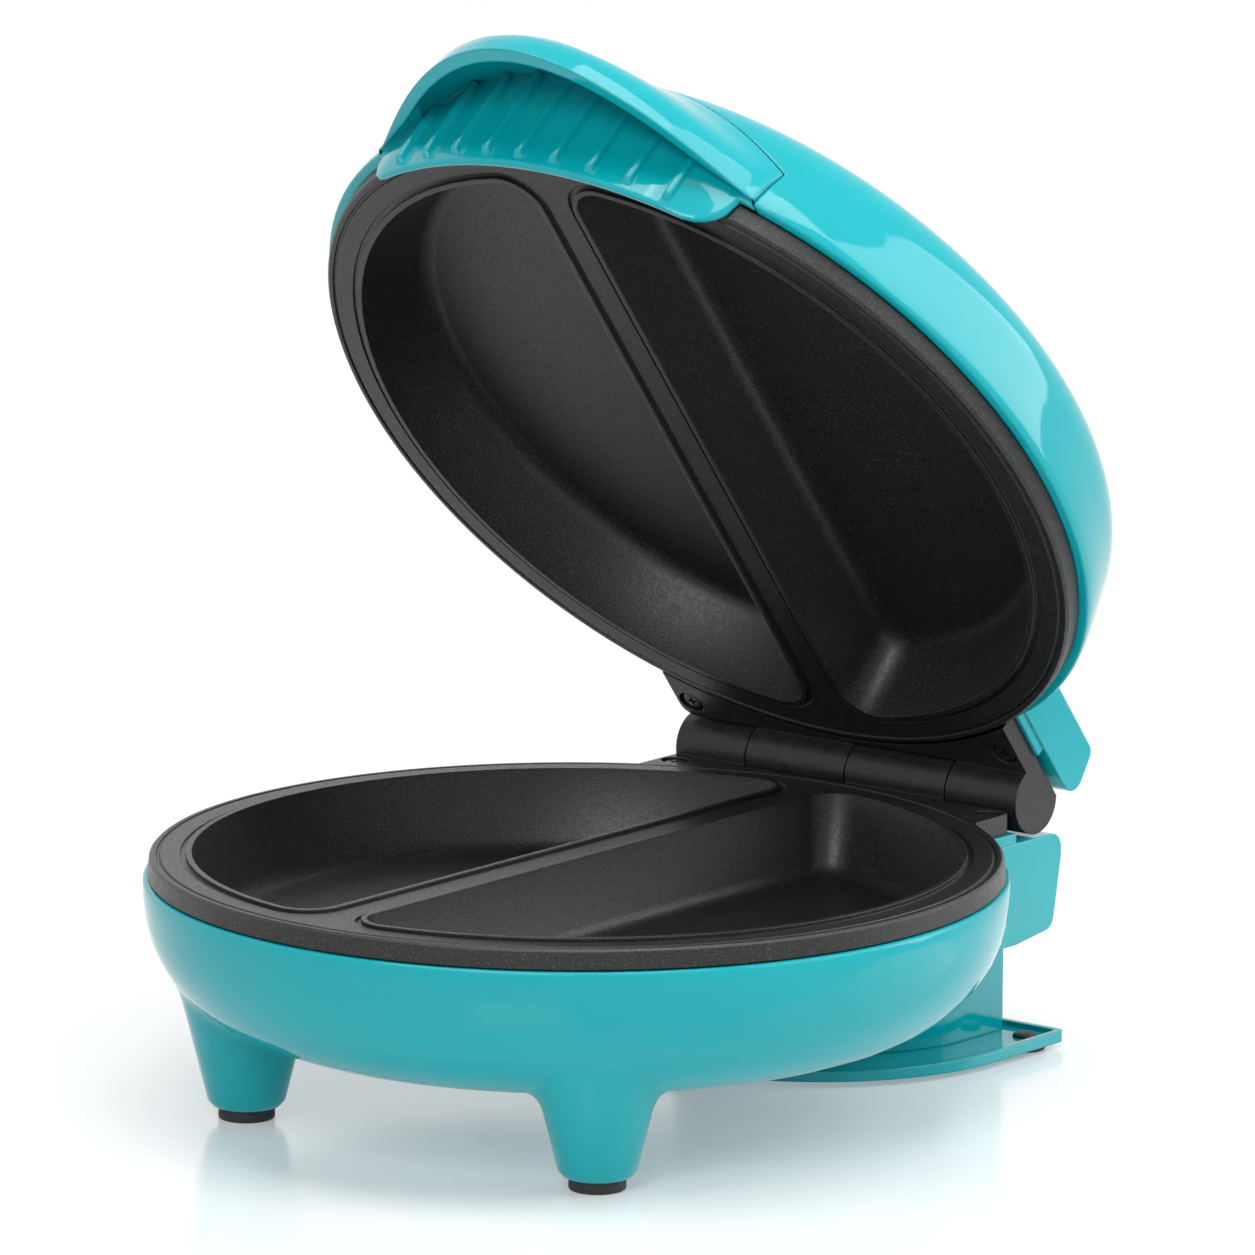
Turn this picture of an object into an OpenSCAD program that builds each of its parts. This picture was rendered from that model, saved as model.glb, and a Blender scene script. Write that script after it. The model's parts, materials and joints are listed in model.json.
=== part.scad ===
// Electric omelette maker: two hinged non-stick plates, each with two half-moon cavities,
// in a lower bowl on legs and a domed lid with a ribbed finger grip.
// The origin is on the worktop under the middle of the plates, +Y is the hinge side, +Z is up.

/* [Cooking plates] */
// Outer radius of both cooking plates at the cooking face
plate_r = 100; // [96:0.5:104]
// Height of the band of each plate that shows between the housings
band_h = 4.7; // [4.4:0.1:7]
// How much wider the band is where it meets its housing
band_flare = 0.4; // [0.2:0.1:0.6]
// Width of the flat rim outside the cavities
rim_land = 10; // [9:0.5:14]
// Half of the divider's width between the two cavities
divider_half = 6; // [5.5:0.1:7.5]
// Corner radius of the cavities at the cooking face
cavity_corner = 8; // [6.5:0.5:12]
// Depth of the cavities
cavity_depth = 18.5; // [15:0.5:19]
// How far the round wall of a cavity leans in between rim and floor
wall_lean = 6.5; // [4:0.5:9]
// How far the divider's wall leans in between rim and floor
divider_lean = 4; // [2:0.5:6]
// Radius between a cavity's walls and its floor
floor_fillet = 4; // [2:0.5:5]
// Thickness of the casting
casting_t = 2.5; // [2:0.1:3]
// Height of the bead round each cavity
bead_h = 0.6; // [0.3:0.1:0.6]
// Width of the bead round each cavity
bead_w = 1.4; // [1:0.1:1.8]
// Gap between the two plates when the lid is shut
face_gap = 1.6; // [1.6:0.1:2.4]

/* [Lower housing] */
// Height of the lower housing's rim above the worktop
rim_z = 56; // [54:0.5:62]
// How far the lower housing's rim stands out past the plates
bowl_over = 1.5; // [1:0.1:3]
// Height of the flat underside of the bowl above the worktop
bowl_bottom_z = 20.6; // [18:0.2:22]
// Width of the bowl's curved underside, from its rim to its flat middle
bowl_curve_w = 35.5; // [30:0.5:46]
// Wall thickness of both housings
wall = 2.5; // [2:0.1:3]

/* [Front legs] */
// Distance of each front leg from the bowl's rim, sideways
leg_in_x = 49; // [42:0.5:56]
// Distance of the front legs from the bowl's rim, front to back
leg_in_y = 44; // [40:0.5:51]
// Radius of a leg at its lower end
leg_r = 8.7; // [8:0.1:11]
// Half angle of a leg's taper
leg_taper = 14; // [8:0.5:16]
// Radius of the root where a leg runs into the bowl
leg_fillet = 4; // [1:0.5:6]
// Height of the rubber foot that shows below a leg
foot_h = 2.7; // [2:0.1:4]
// Radius of a rubber foot
foot_r = 6.65; // [5.5:0.05:7]

/* [Rear block and cord spool] */
// Half width of the rear blocks of both housings
block_half = 53; // [52.6:0.2:56]
// Distance of the rear face of the blocks behind the hinge axis
block_rear = 8.5; // [8:0.25:10]
// Height of the underside of the lower block
block_bottom_z = 28.4; // [27:0.2:32]
// Height of the lid's block
lid_block_h = 13; // [11:0.5:18]
// Radius on the block edges that face each other at the hinge
block_edge_r = 4; // [3:0.25:5]
// Radius of the cord spool's round front
spool_r = 39; // [38:0.5:41]
// Distance of the spool's rear face in front of the blocks' rear face
spool_in = 4; // [2.5:0.5:5.5]
// Distance from the spool's rear face to the middle of its round front
spool_depth = 15.5; // [13.5:0.5:17.5]
// Radius of the spool flange's round front
flange_r = 54; // [53:0.1:58]
// Distance from the flange's rear edge to the middle of its round front
flange_depth = 29; // [26:0.5:30]
// How far the flange stands out behind the spool
flange_rear = 5.5; // [5:0.5:8.5]
// Height of the flange's underside above the worktop
flange_z = 1.5; // [1.2:0.1:2]
// Thickness of the flange
flange_t = 1.5; // [1.2:0.1:2]
// Height of the flange's turned-up edge above its top
flange_lip_h = 1.2; // [0.8:0.1:3]

/* [Hinge] */
// Distance of the hinge axis behind the plates' edge
hinge_off = 11; // [10.5:0.1:11.5]
// Angle at which the lid stands open
open_angle = 52; // [0:1:100]
// Half length of the hinge
hinge_half = 51.5; // [49:0.5:52]
// Radius of the hinge knuckles
knuckle_r = 8.2; // [7:0.1:8.3]
// Distance of the inner knuckle joints from the middle
knuckle_x = 30.25; // [26:0.25:34]
// Gap between neighbouring knuckles
knuckle_gap = 0.5; // [0.4:0.1:1]
// Thickness of a hinge leaf
leaf_t = 5; // [4:0.1:5.4]
// Distance of a leaf's inner face from the hinge axis
leaf_offset = 1.4; // [1.2:0.1:2]
// Diameter of the hinge pin
pin_d = 5; // [4:0.1:6]
// Distance of the leaf screws from the middle, sideways
leaf_screw_x = 47.3; // [46:0.1:47.5]
// Distance of the leaf screws in front of the hinge axis
leaf_screw_in = 14; // [13.5:0.25:15]

/* [Lid] */
// How far the lid's rim stands out past the plates
lid_over = 2.6; // [2.4:0.1:4]
// Height of the lid's crown above the worktop when it is shut
lid_top_z = 99.6; // [98.8:0.2:104]
// Height of the shoulder's upper end above the worktop when it is shut
shoulder_z = 98.4; // [97.6:0.2:98.8]
// Width of the rounded shoulder between the lid's rim and its crown
shoulder_w = 24.6; // [21:0.2:30]

/* [Handle] */
// Half width of the handle piece
handle_half = 55.2; // [50:0.2:57]
// How far the handle's brow stands out from the lid
brow_out = 22; // [16:0.5:26]
// Half width of the brow
brow_half = 54; // [50:0.5:55]
// Height of the brow's lower edge above the worktop when the lid is shut
brow_z = 70.8; // [70:0.2:73]
// How much lower the brow's lower edge is at its ends
brow_drop = 2.4; // [1:0.1:2.4]
// Height of the handle piece's top edge when the lid is shut
handle_top_z = 94.2; // [91:0.2:94.6]
// Radius of the handle piece's top edge, seen from the front
handle_seam_r = 115; // [110:1:140]
// Wall of the brow
brow_wall = 4; // [2.5:0.1:4.5]
// Depth of the finger hollow above the brow's edge
hollow_h = 11.2; // [8:0.2:12]
// Number of grip ribs
rib_count = 9; // [5:1:10]
// Distance between grip ribs
rib_pitch = 9.85; // [8:0.05:10]
// Width of a grip rib at its foot
rib_w = 2.8; // [2:0.1:4]
// Height of a grip rib
rib_h = 1.3; // [0.8:0.1:1.8]

/* [Heating parts] */
// Diameter of the tubular heating elements
element_d = 6.4; // [6:0.1:6.6]
// Distance of the heating elements' ring from the plates' edge
element_in = 50; // [48:0.5:54]
// Half of the angle that a heating element leaves open at the back
element_gap_angle = 18; // [14:1:24]
// Length of the posts under a casting
post_h = 9.3; // [9.2:0.1:9.4]
// Radius of the posts under a casting
post_r = 4; // [3.6:0.1:4.5]
// Distance of the posts from the plates' edge, sideways
post_in = 45; // [43:0.5:47]
// Distance of the posts from the middle, front to back
post_y = 35; // [33:0.5:37]
// Thickness of the heat shields
shield_t = 0.8; // [0.5:0.1:0.9]
// Diameter of a thermostat
thermostat_d = 16; // [14:0.5:18]
// Height of a thermostat
thermostat_h = 8.5; // [7:0.5:9]
// Diameter of an indicator lens
lens_d = 6.5; // [5:0.5:8]
// Distance of each indicator lens from the middle, sideways
lens_x = 9; // [8:0.5:14]
// Distance of the indicator lenses from the plates' front edge
lens_in = 40; // [36:1:50]

/* [Fixings and cord outlet] */
// Diameter of the screws' threads
screw_d = 3.5; // [3:0.1:4]
// Diameter of the screws' heads
screw_head_d = 6.4; // [5.6:0.1:7]
// Height of the screws' heads
screw_head_h = 2; // [1.6:0.1:2.4]
// Diameter of the cord's hole in its bush
cord_d = 6.9; // [5.5:0.1:7]
// Height of the cord outlet above the worktop
cord_z = 14.5; // [13:0.5:18]

/* [Hidden] */

TEAL = [0.16, 0.66, 0.70];
CHARCOAL = [0.14, 0.14, 0.145];
BLACK = [0.07, 0.07, 0.075];
STEEL = [0.72, 0.73, 0.75];
ALUMINIUM = [0.80, 0.81, 0.82];
CERAMIC = [0.90, 0.88, 0.82];

round_fn = 96;
cavity_r = plate_r - rim_land;
bowl_r = plate_r + bowl_over;
bowl_flat_r = bowl_r - bowl_curve_w;
leg_x = bowl_r - leg_in_x;
leg_y = bowl_r - leg_in_y;
hinge_back = plate_r + hinge_off;
block_back = hinge_back + block_rear;
spool_back = block_back - spool_in;
spool_y = spool_back - spool_depth;
flange_back = spool_back + flange_rear;
flange_y = flange_back - flange_depth;
leaf_screw_y = hinge_back - leaf_screw_in;
lid_r = plate_r + lid_over;
crown_r = lid_r - shoulder_w;
element_r = plate_r - element_in;
post_x = plate_r - post_in;
lens_y = plate_r - lens_in;
block_front = hinge_back - 31;   // where the blocks start inside the housings
fit_gap = 0.05;        // running gap of pins and screws in their holes
seat_gap = 0.3;        // gap between a housing and what is let into it
seam_gap = 0.4;        // gap between a housing's rim and its plate's band
split_z = rim_z + seam_gap + band_h + face_gap / 2;
hinge_z = split_z;
lower_face_z = split_z - face_gap / 2;
upper_face_z = split_z + face_gap / 2;
lid_rim_z = upper_face_z + band_h + seam_gap;
leaf_far = leaf_offset + leaf_t;
block_clear = 0.5;     // gap between a knuckle and the block opposite
block_offset = knuckle_r + block_clear;
lower_block_top = hinge_z - block_offset;
upper_block_bottom = hinge_z + block_offset;
shell_depth = cavity_depth + casting_t;
shield_depth = shell_depth + post_h;
lower_shell_z = lower_face_z - shell_depth;
lower_shield_z = lower_face_z - shield_depth;
upper_shield_z = upper_face_z + shield_depth;
post_places = [for (sx = [-1, 1], sy = [-1, 1]) [sx * post_x, sy * post_y]];
clamp_angles = [20, 160, 200, 340];
clamp_boss_r = 3.5;
clamp_boss_at = element_r + element_d / 2 + clamp_boss_r + 1;
clamp_t = 1;
clamp_w = 9;
clamp_head_h = 1.4;    // head of a clamp's screw
leg_bottom_z = foot_h;
band_r = plate_r + band_flare;
skirt_r = plate_r - 1.7;
skirt_h = 3.1;
flange_top_z = flange_z + flange_t;

// Helper functions

// Points of a cubic curve from a to d, without its first point
function curve(a, b, c, d, n) = [for (i = [1:n]) let (t = i / n, s = 1 - t)
  s * s * s * a + 3 * s * s * t * b + 3 * s * t * t * c + t * t * t * d];

// Points of an outline whose corners [x, y, r] are rounded
function rounded(corners, n = 5) = [for (i = [0:len(corners) - 1])
  let (count = len(corners),
    p = [corners[i][0], corners[i][1]],
    before = corners[(i + count - 1) % count],
    after = corners[(i + 1) % count],
    u = unit([before[0], before[1]] - p),
    v = unit([after[0], after[1]] - p),
    r = corners[i][2],
    half = acos(u * v) / 2,
    reach = r / tan(half),
    centre = p + unit(u + v) * r / sin(half),
    start = p + u * reach,
    end = p + v * reach,
    a0 = atan2(start[1] - centre[1], start[0] - centre[0]),
    turn = atan2(cross_2d(start - centre, end - centre), (start - centre) * (end - centre)))
  each r == 0 ? [p] : [for (k = [0:n]) centre + r * [cos(a0 + turn * k / n), sin(a0 + turn * k / n)]]];
function unit(v) = v / norm(v);
function cross_2d(a, b) = a[0] * b[1] - a[1] * b[0];

// Outline of a half-moon: round side of radius r about the origin, straight side at x0
function half_moon(r, x0, corner, arc_steps = 36, corner_steps = 8) =
  let (cx = x0 + corner, cy = sqrt(pow(r - corner, 2) - cx * cx), a = atan2(cy, cx))
  concat([for (i = [0:arc_steps]) let (t = -a + 2 * a * i / arc_steps) r * [cos(t), sin(t)]],
    [for (i = [1:corner_steps]) let (t = a + (180 - a) * i / corner_steps)
      [cx, cy] + corner * [cos(t), sin(t)]],
    [for (i = [0:corner_steps - 1]) let (t = 180 + (180 - a) * i / corner_steps)
      [cx, -cy] + corner * [cos(t), sin(t)]]);
function at_height(outline, z) = [for (p = outline) [p[0], p[1], z]];

// Solid through rings of equally many points, the first ring lowest
module loft(rings) {
  n = len(rings[0]);
  last = len(rings) - 1;
  sides = [for (k = [0:last - 1], i = [0:n - 1]) let (a = k * n + i, b = k * n + (i + 1) % n)
    each [[a, a + n, b], [b, a + n, b + n]]];
  polyhedron(points = [for (ring = rings) each ring],
    faces = concat([[for (i = [0:n - 1]) i]], sides, [[for (i = [0:n - 1]) last * n + n - 1 - i]]));
}

module at_posts() for (p = post_places) translate(p) children();
module at_clamps() for (a = clamp_angles) rotate(a) children();
module screw(length, head_h = screw_head_h) {
  cylinder(h = head_h, d = screw_head_d, $fn = round_fn);
  translate([0, 0, -length]) cylinder(h = length + 0.01, d = screw_d, $fn = round_fn);
}
module screw_hole(length) translate([0, 0, -length])
  cylinder(h = length, d = screw_d + 2 * fit_gap, $fn = round_fn);

// Turns what belongs to the lid from shut to the angle at which it stands open
module lid_pose() translate([0, hinge_back, hinge_z]) rotate([-open_angle, 0, 0])
  translate([0, -hinge_back, -hinge_z]) children();

// Cooking plates and what is fixed to them

function cavity_ring(z, lean, extra) = at_height(half_moon(cavity_r - lean * wall_lean - extra,
  divider_half + lean * divider_lean + extra, cavity_corner - lean * 2 - extra * 0.4), z);
function bead_outline(w) = half_moon(cavity_r + w, divider_half - w, cavity_corner + w);

module cavity_hollow() {
  loft(concat([for (t = [0:0.25:1]) let (z = floor_fillet * t * t - cavity_depth)
      cavity_ring(z, -z / cavity_depth, 0.8 * floor_fillet * (1 - t) * (1 - t))],
    [cavity_ring(0, 0, 0), cavity_ring(3, -0.02, 0)]));
}
module cavity_shell() {
  loft([cavity_ring(-shell_depth, 1, -casting_t + floor_fillet * 0.6),
    cavity_ring(-shell_depth + floor_fillet, 1, -casting_t),
    cavity_ring(-1, 0, -casting_t)]);
}
// One casting with its cooking face up at z = 0
module casting() {
  groove_depth = 0.5;
  difference() {
    union() {
      rotate_extrude($fn = round_fn) polygon([[0, -3], [0, 0], [plate_r - 2.6, 0],
        [plate_r - 2.4, -groove_depth], [plate_r - 1.8, -groove_depth], [plate_r - 1.6, 0],
        [plate_r - 0.6, 0], [plate_r, -0.6], [band_r, -band_h], [skirt_r, -band_h],
        [skirt_r, -band_h - skirt_h], [skirt_r - casting_t, -band_h - skirt_h],
        [skirt_r - casting_t, -3]]);
      for (side = [0, 1]) mirror([side, 0, 0]) {
        cavity_shell();
        translate([0, 0, -1]) linear_extrude(1 + bead_h) polygon(bead_outline(bead_w));
      }
      at_posts() translate([0, 0, -shield_depth]) cylinder(h = post_h + 1, r = post_r, $fn = round_fn);
      at_clamps() translate([clamp_boss_at, 0, -shell_depth - element_d])
        cylinder(h = element_d + 1, r = clamp_boss_r, $fn = round_fn);
    }
    for (side = [0, 1]) mirror([side, 0, 0]) {
      cavity_hollow();
      translate([0, 0, -groove_depth]) linear_extrude(groove_depth + 1) difference() {
        polygon(bead_outline(2 * bead_w));
        polygon(bead_outline(bead_w));
      }
    }
    at_posts() translate([0, 0, -shield_depth]) mirror([0, 0, 1]) screw_hole(9);
    at_clamps() translate([clamp_boss_at, 0, -shell_depth - element_d]) mirror([0, 0, 1]) screw_hole(5);
  }
}
// Tubular element pressed against the back of a casting, with its two pins at the back
module element() {
  tube_z = -shell_depth - 0.1 - element_d / 2;
  start = 90 + element_gap_angle;
  sweep = 360 - 2 * element_gap_angle;
  translate([0, 0, tube_z]) rotate(start) rotate_extrude(angle = sweep, $fn = round_fn)
    translate([element_r, 0]) circle(d = element_d, $fn = 32);
  for (side = [-1, 1]) rotate(90 + side * element_gap_angle) translate([element_r, side * 0.5, tube_z])
    rotate([side * 90, 0, 0]) cylinder(h = 8.5, d = 3.2, $fn = 32);
}
module element_clamps() {
  inner = element_r - element_d / 2 - 1;
  outer = clamp_boss_at + clamp_boss_r;
  at_clamps() difference() {
    translate([inner, -clamp_w / 2, -shell_depth - element_d - clamp_t - 0.1])
      cube([outer - inner, clamp_w, clamp_t]);
    translate([clamp_boss_at, 0, -shell_depth]) screw_hole(element_d + 5);
  }
}
module clamp_screws() at_clamps()
  translate([clamp_boss_at, 0, -shell_depth - element_d - clamp_t - 0.1]) mirror([0, 0, 1])
    screw(5, clamp_head_h);

// Thin dish behind the element, held against the casting's posts
module heat_shield() {
  flat_r = plate_r - 28;
  edge_r = plate_r - 20;
  edge_h = 7;
  difference() {
    translate([0, 0, -shield_depth]) rotate_extrude($fn = round_fn) polygon([[0, -shield_t], [0, 0],
      [flat_r, 0], [edge_r, edge_h], [edge_r + shield_t, edge_h], [flat_r + shield_t / 2, -shield_t]]);
    at_posts() translate([0, 0, -shield_depth + 1]) screw_hole(3);
    for (side = [-1, 1]) rotate(90 + side * element_gap_angle)
      translate([element_r, 0, -shield_depth - 2]) cylinder(h = 4, r = 4.5, $fn = round_fn);
    translate([-28, 0, -shield_depth - 2]) cylinder(h = 4, r = 5, $fn = round_fn);
  }
}
// Disc thermostat against the back of the left-hand floor, with its two blades
module thermostat() {
  translate([-30, 0, -shell_depth - 0.1 - thermostat_h]) {
    cylinder(h = thermostat_h, d = thermostat_d, $fn = round_fn);
    translate([0, 0, thermostat_h - 2]) difference() {
      translate([-4, -14, 0]) cube([8, 28, 1]);
      for (side = [-1, 1]) translate([0, side * 11, -1]) cylinder(h = 3, d = 3.2, $fn = round_fn);
    }
  }
}

module lower_plate() color(CHARCOAL) translate([0, 0, lower_face_z]) casting();
module lower_element() color(STEEL) translate([0, 0, lower_face_z]) element();
module lower_element_clamps() color(STEEL) translate([0, 0, lower_face_z]) element_clamps();
module lower_clamp_screws() color(STEEL) translate([0, 0, lower_face_z]) clamp_screws();
module lower_heat_shield() color(ALUMINIUM) translate([0, 0, lower_face_z]) heat_shield();
module lower_thermostat() color(STEEL) translate([0, 0, lower_face_z]) thermostat();
module lid_side() lid_pose() translate([0, 0, upper_face_z]) mirror([0, 0, 1]) children();
module upper_plate() color(CHARCOAL) lid_side() casting();
module upper_element() color(STEEL) lid_side() element();
module upper_element_clamps() color(STEEL) lid_side() element_clamps();
module upper_clamp_screws() color(STEEL) lid_side() clamp_screws();
module upper_heat_shield() color(ALUMINIUM) lid_side() heat_shield();
module upper_thermostat() color(STEEL) lid_side() thermostat();

// Lower housing

bowl_outer = concat([[bowl_r - 0.7, rim_z], [bowl_r - 0.2, rim_z - 0.2], [bowl_r, rim_z - 0.7],
  [bowl_r, rim_z - 4]],
  curve([bowl_r, rim_z - 4], [bowl_r - 0.5, rim_z - 20], [bowl_r - 11.5, bowl_bottom_z + 0.2],
    [bowl_flat_r, bowl_bottom_z], 10));
bowl_inner = concat([[bowl_r - wall, rim_z + 8], [bowl_r - wall, rim_z - 4]],
  curve([bowl_r - wall, rim_z - 4], [bowl_r - wall - 0.4, rim_z - 18.6],
    [bowl_r - 12.8, bowl_bottom_z + wall + 0.2],
    [bowl_flat_r - 0.5, bowl_bottom_z + wall], 10));
module bowl_solid() rotate_extrude($fn = round_fn)
  polygon(concat([[0, rim_z]], bowl_outer, [[0, bowl_bottom_z]]));
module bowl_space() rotate_extrude($fn = round_fn)
  polygon(concat([[0, rim_z + 8]], bowl_inner, [[0, bowl_bottom_z + wall]]));

// Where the leg's cone meets the underside of the bowl, in the direction a: [radius, height]
slope = tan(leg_taper);
function bowl_z(r) = lookup(r, [for (p = bowl_outer) if (p[1] < rim_z - 1) [p[0], p[1]]]);
function leg_radius(z) = leg_r + (z - leg_bottom_z) * slope;
function reach(a, r) = norm([leg_x + r * cos(a), -leg_y + r * sin(a)]);
function meet(a, z = 24, steps = 8) = steps == 0 ? [leg_radius(z), z]
  : meet(a, (z + bowl_z(reach(a, leg_radius(z)))) / 2, steps - 1);
// Points of the root in the direction a, from the cone up into the bowl
function root_points(a) = let (m = meet(a), steep = bowl_z(reach(a, m[0] + 1)) - bowl_z(reach(a, m[0])),
    out = m[0] + leg_fillet / sqrt(1 + steep * steep), low = m[1] - leg_fillet * 1.2,
    end = bowl_z(reach(a, out)) + 0.2)
  [for (t = [0:0.2:1]) let (s = 1 - t)
    [s * s * leg_radius(low) + 2 * s * t * m[0] + t * t * out, s * s * low + 2 * s * t * m[1] + t * t * end]];
leg_turns = [for (a = [0:7.5:352.5]) a];
leg_roots = [for (a = leg_turns) root_points(a)];
leg_end = [[leg_r - 2, leg_bottom_z], [leg_r - 0.6, leg_bottom_z + 0.6],
  [leg_radius(leg_bottom_z + 2), leg_bottom_z + 2]];
// Tapered leg with a rounded end and a root that flows into the bowl
module leg() loft(concat([for (p = leg_end) [for (a = leg_turns) [p[0] * cos(a), p[0] * sin(a), p[1]]]],
  [for (k = [0:5]) [for (i = [0:len(leg_turns) - 1])
    let (q = leg_roots[i][k]) [q[0] * cos(leg_turns[i]), q[0] * sin(leg_turns[i]), q[1]]]],
  [[for (i = [0:len(leg_turns) - 1])
    let (q = leg_roots[i][5]) [q[0] * cos(leg_turns[i]), q[0] * sin(leg_turns[i]), q[1] + 1.6]]]));
lower_block_side = rounded([[block_front, lower_block_top, 0], [block_front, block_bottom_z, 0],
  [block_back - 18, block_bottom_z, 3],
  [block_back - 3.4, block_bottom_z + 1.8, 3.5], [block_back - 0.2, lower_block_top - 6, 0],
  [block_back, lower_block_top, block_edge_r]]);
module block_prism(side_outline, half) rotate([90, 0, 90]) translate([0, 0, -half])
  linear_extrude(2 * half) polygon(side_outline);
module spool_plan(r, back) {
  intersection() {
    translate([0, spool_y]) circle(r = r, $fn = round_fn);
    translate([-r - 1, spool_y - r - 1]) square([2 * r + 2, r + 1]);
  }
  translate([-r, spool_y]) square([2 * r, back - spool_y]);
}
flange_screw_places = [[-25, spool_y - 16], [25, spool_y - 16]];
leaf_screw_places = [[-leaf_screw_x, leaf_screw_y], [leaf_screw_x, leaf_screw_y]];
module base_housing() color(TEAL) {
  difference() {
    union() {
      difference() {
        union() {
          bowl_solid();
          block_prism(lower_block_side, block_half);
          for (side = [0, 1]) mirror([side, 0, 0]) translate([leg_x, -leg_y, 0]) leg();
          translate([0, 0, flange_top_z]) linear_extrude(block_bottom_z - flange_top_z + 2.6)
            spool_plan(spool_r, spool_back);
          leaf_seat();
        }
        bowl_space();
        // hollow of the block and of the spool, outside the bowl's own wall
        difference() {
          union() {
            translate([-block_half + wall, block_front + 10, block_bottom_z + wall])
              cube([2 * (block_half - wall), block_back - wall - 3.5 - block_front - 10,
                lower_block_top - wall - block_bottom_z - wall]);
            translate([0, 0, flange_top_z - 1]) linear_extrude(block_bottom_z - flange_top_z + 1)
              spool_plan(spool_r - wall, spool_back - wall);
            translate([-8, lead_y - 4.5, block_bottom_z - 1]) cube([16, 8, wall + 2]);
          }
          bowl_solid();
        }
        // way for the leads from the block into the bowl
        translate([-18, block_front, lower_shell_z - 6]) cube([8, 30, 4]);
        translate([10, block_front, lower_shell_z - 6]) cube([8, 30, 4]);
        hinge_recess();
      }
      difference() {
        at_posts() translate([0, 0, bowl_bottom_z + 1])
          cylinder(h = lower_shield_z - shield_t - bowl_bottom_z - 1, r = post_r + 0.5, $fn = round_fn);
        translate([0, 0, lower_shield_z]) cylinder(h = 1, r = plate_r, $fn = round_fn);
      }
      difference() {
        for (p = flange_screw_places) translate([p[0], p[1], flange_top_z])
          cylinder(h = block_bottom_z - flange_top_z + 2, r = 4, $fn = round_fn);
        bowl_space();
      }
      for (p = leaf_screw_places) translate([p[0], p[1], block_bottom_z + 1])
        cylinder(h = hinge_z - leaf_far - block_bottom_z - 1, r = 3.8, $fn = round_fn);
    }
    at_posts() {
      translate([0, 0, bowl_bottom_z - 1]) cylinder(h = 20, d = screw_d + 2 * fit_gap, $fn = round_fn);
      translate([0, 0, bowl_bottom_z - 1])
        cylinder(h = 1 + plate_screw_sink, d = screw_head_d + 0.6, $fn = round_fn);
    }
    for (p = flange_screw_places) translate([p[0], p[1], flange_top_z - 1])
      cylinder(h = 11, d = screw_d + 2 * fit_gap, $fn = round_fn);
    for (p = leaf_screw_places) translate([p[0], p[1], hinge_z - leaf_far]) screw_hole(12);
    for (side = [-1, 1]) translate([side * leg_x, -leg_y, leg_bottom_z - 1])
      cylinder(h = 7, r = 2.5 + fit_gap, $fn = round_fn);
    translate([0, spool_back + 1, cord_z]) rotate([90, 0, 0])
      cylinder(h = wall + 2, r = bush_neck_r + fit_gap, $fn = round_fn);
    // air slots in the underside
    for (k = [-2:2]) translate([k * 7 - 1.2, -16, bowl_bottom_z - 1]) cube([2.4, 32, wall + 2]);
  }
}
plate_screw_sink = 3;

// Raised seat under the lower hinge leaf
module leaf_seat() difference() {
  translate([-block_half, block_front, lower_block_top - 1])
    cube([2 * block_half, hinge_back - knuckle_r - 0.9 - block_front,
      hinge_z - leaf_far - lower_block_top + 1]);
  translate([-block_half - 1, block_front - 10, lower_block_top]) cube([block_half - hinge_half, 60, 20]);
  translate([hinge_half + 1, block_front - 10, lower_block_top]) cube([block_half - hinge_half, 60, 20]);
}
// Room for the hinge leaf where it crosses the bowl's rim
module hinge_recess() translate([-hinge_half - 0.4, block_front, hinge_z - leaf_far])
  cube([2 * hinge_half + 0.8, 60, 20]);

module front_feet() color(BLACK) for (side = [-1, 1]) translate([side * leg_x, -leg_y, 0]) {
  rotate_extrude($fn = round_fn)
    polygon([[0, 0], [foot_r - 0.6, 0], [foot_r, 0.6], [foot_r, foot_h], [0, foot_h]]);
  translate([0, 0, foot_h - 0.01]) cylinder(h = 5, r = 2.5, $fn = round_fn);
}

// Spool flange, cord outlet

pad_places = [[-flange_r + 6.5, flange_back - 8], [flange_r - 6.5, flange_back - 8]];
module flange_plan(inset) {
  intersection() {
    translate([0, flange_y]) circle(r = flange_r - inset, $fn = round_fn);
    translate([-flange_r - 1, flange_y - flange_r - 1]) square([2 * flange_r + 2, flange_r + 1]);
  }
  polygon(rounded([[-flange_r + inset, flange_y, 0], [flange_r - inset, flange_y, 0],
    [flange_r - inset, flange_back - inset, 2.5 - inset / 2],
    [-flange_r + inset, flange_back - inset, 2.5 - inset / 2]]));
}
module spool_flange() color(TEAL) difference() {
  translate([0, 0, flange_z]) linear_extrude(flange_t + flange_lip_h) flange_plan(0);
  translate([0, 0, flange_top_z]) linear_extrude(5) flange_plan(1.8);
  for (p = flange_screw_places) translate([p[0], p[1], flange_z - 1])
    cylinder(h = 5, d = screw_d + 2 * fit_gap, $fn = round_fn);
  for (p = pad_places) translate([p[0], p[1], flange_z - 1]) cylinder(h = 5, r = 2 + fit_gap, $fn = round_fn);
}
module spool_flange_screws() color(STEEL) for (p = flange_screw_places)
  translate([p[0], p[1], flange_z]) mirror([0, 0, 1]) {
    cylinder(h = 1.2, d = screw_head_d, $fn = round_fn);
    translate([0, 0, -10]) cylinder(h = 10.01, d = screw_d, $fn = round_fn);
  }
module rear_pads() color(BLACK) for (p = pad_places) translate([p[0], p[1], 0]) {
  cylinder(h = flange_z, r = 5, $fn = round_fn);
  cylinder(h = flange_top_z, r = 2, $fn = round_fn);
  translate([0, 0, flange_top_z]) cylinder(h = 1.1, r = 2.9, $fn = round_fn);
}
bush_neck_r = cord_d / 2 + 1.8;
bush_collar_r = bush_neck_r + 1.6;
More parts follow.
